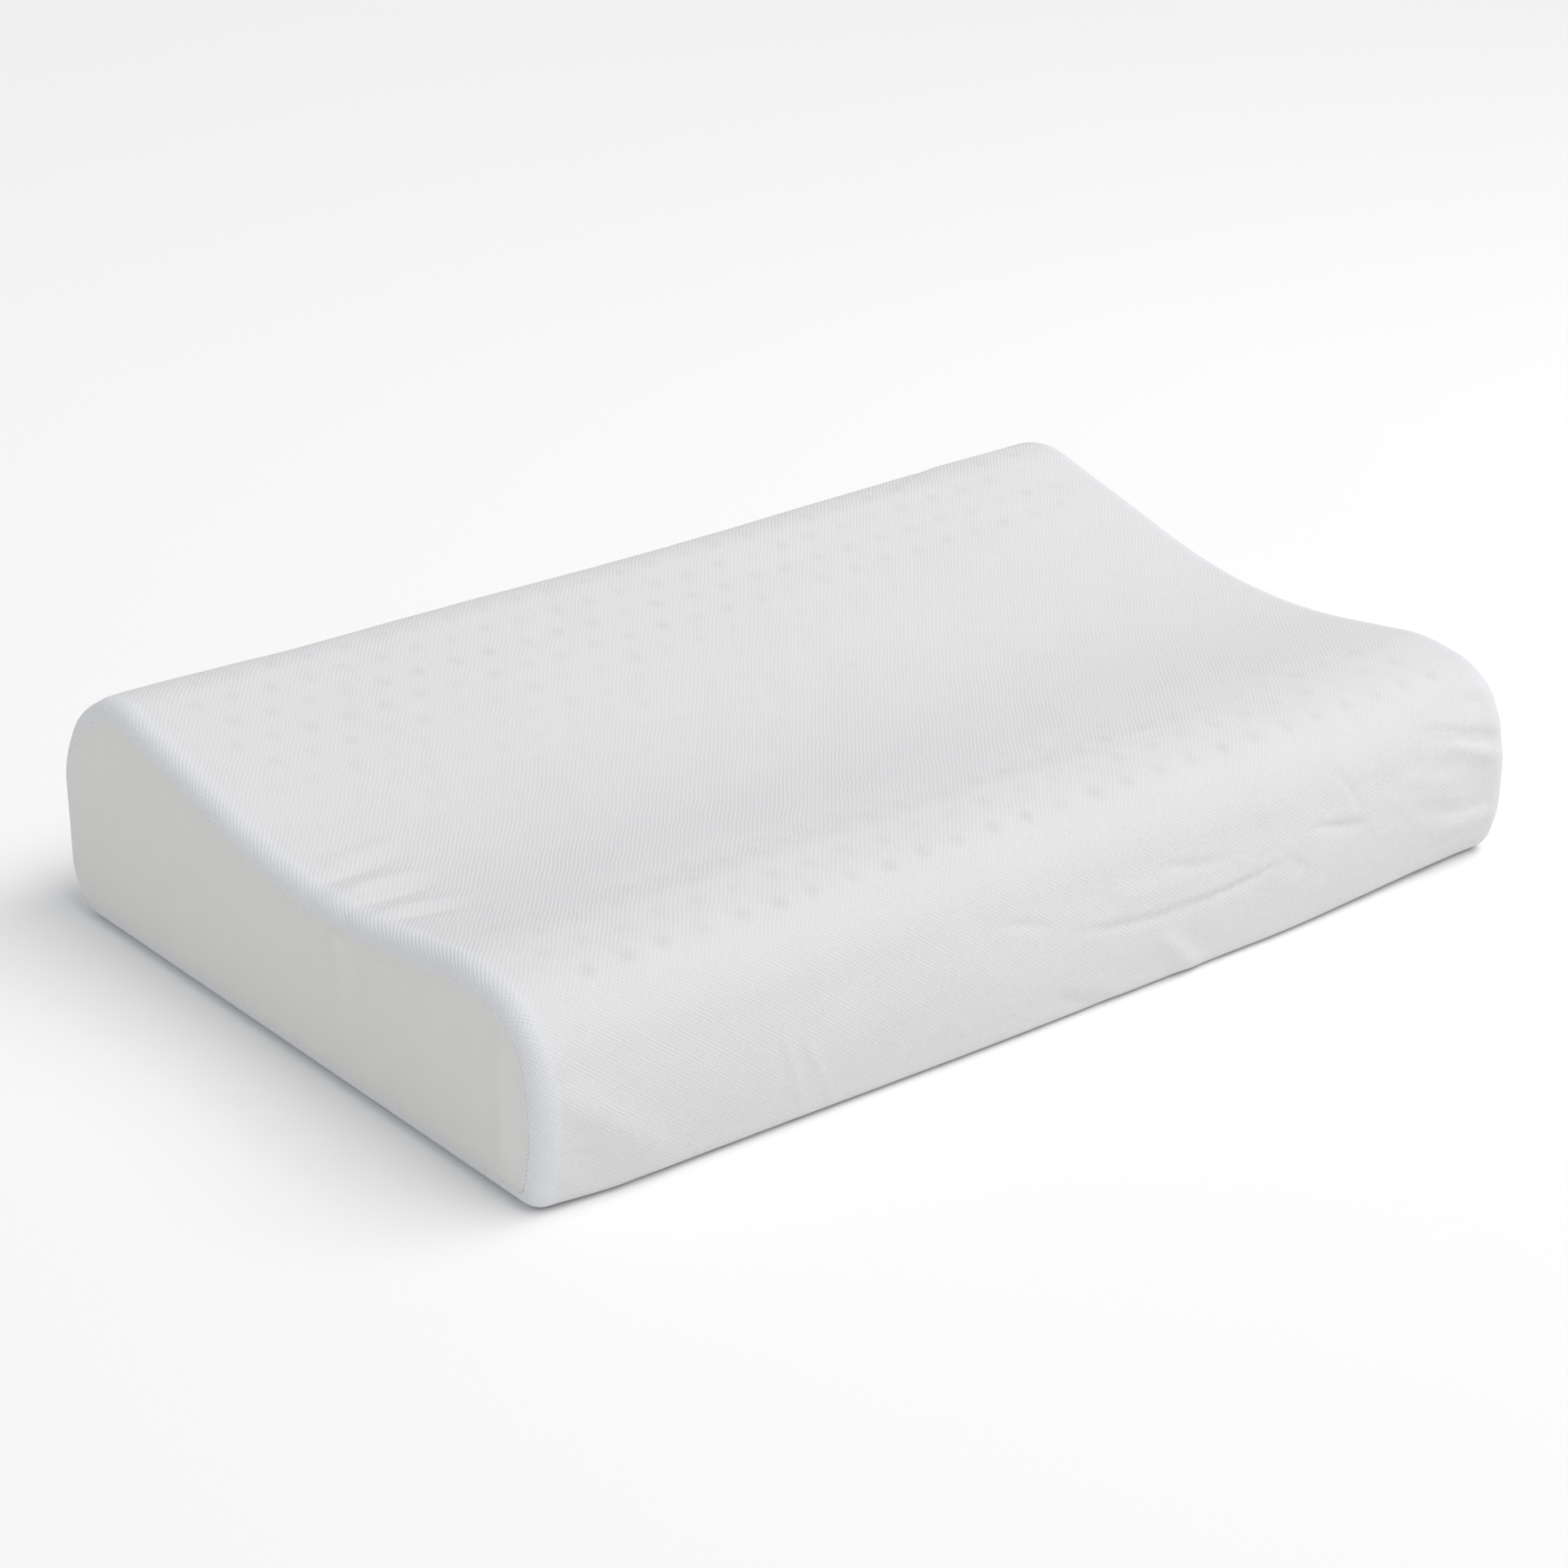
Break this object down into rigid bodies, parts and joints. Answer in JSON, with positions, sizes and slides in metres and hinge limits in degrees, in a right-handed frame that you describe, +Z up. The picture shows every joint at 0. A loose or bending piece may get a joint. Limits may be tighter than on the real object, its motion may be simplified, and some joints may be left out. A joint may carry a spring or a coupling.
{
  "type": "bed pillow",
  "caption": "Contour bed pillow: a pin-core latex foam core with a high and a low lobe and a hollow between them, in a zipped white jersey cover with flat end panels.",
  "frame": {"origin": "on the flat underside, halfway along the length and about halfway between the front and rear faces", "axes": "+X along the pillow's length, towards the end where the zip closes; +Y from the low lobe (front) to the high lobe (rear); +Z up, out of the flat underside"},
  "size_m": [0.6007, 0.4092, 0.1264],
  "materials": {
    "jersey": "fine ribbed white knit jersey, matt, worn on the bias",
    "end_jersey": "fine white knit jersey, matt",
    "latex": "open-cell natural latex foam with a smooth moulded skin",
    "thread": "twisted white polyester sewing thread",
    "zip_tape": "woven white polyester tape",
    "zip_coil": "white nylon monofilament",
    "zip_metal": "white enamel on die-cast zinc",
    "label": "blank woven satin ribbon"
  },
  "bodies": {
    "pillow": {"latex_core": "latex", "cover_wrap": "jersey", "left_end_panel": "end_jersey", "right_end_panel": "end_jersey", "left_seam_thread": "thread", "right_seam_thread": "thread", "zip_tape_upper": "zip_tape", "zip_tape_lower": "zip_tape", "zip_coil_upper": "zip_coil", "zip_coil_lower": "zip_coil", "zip_top_stops": "zip_metal", "zip_bottom_stop": "zip_metal", "zip_stitch_upper": "thread", "zip_stitch_lower": "thread", "zip_end_patch_left": "jersey", "zip_end_patch_right": "jersey", "care_label": "label"},
    "slider": {"zip_slider": "zip_metal"},
    "pull_tab": {"zip_pull_tab": "zip_metal"}
  },
  "joints": [
    {"name": "zip_slide", "type": "slide", "parent": "pillow", "child": "slider", "axis": [-1, 0, 0], "range_m": [0, 0.504]},
    {"name": "pull_tab_hinge", "type": "hinge", "parent": "slider", "child": "pull_tab", "pos_m": [0.252, 0.2077, 0.046], "axis": [0, 0, -1], "range_deg": [0, 180]}
  ]
}
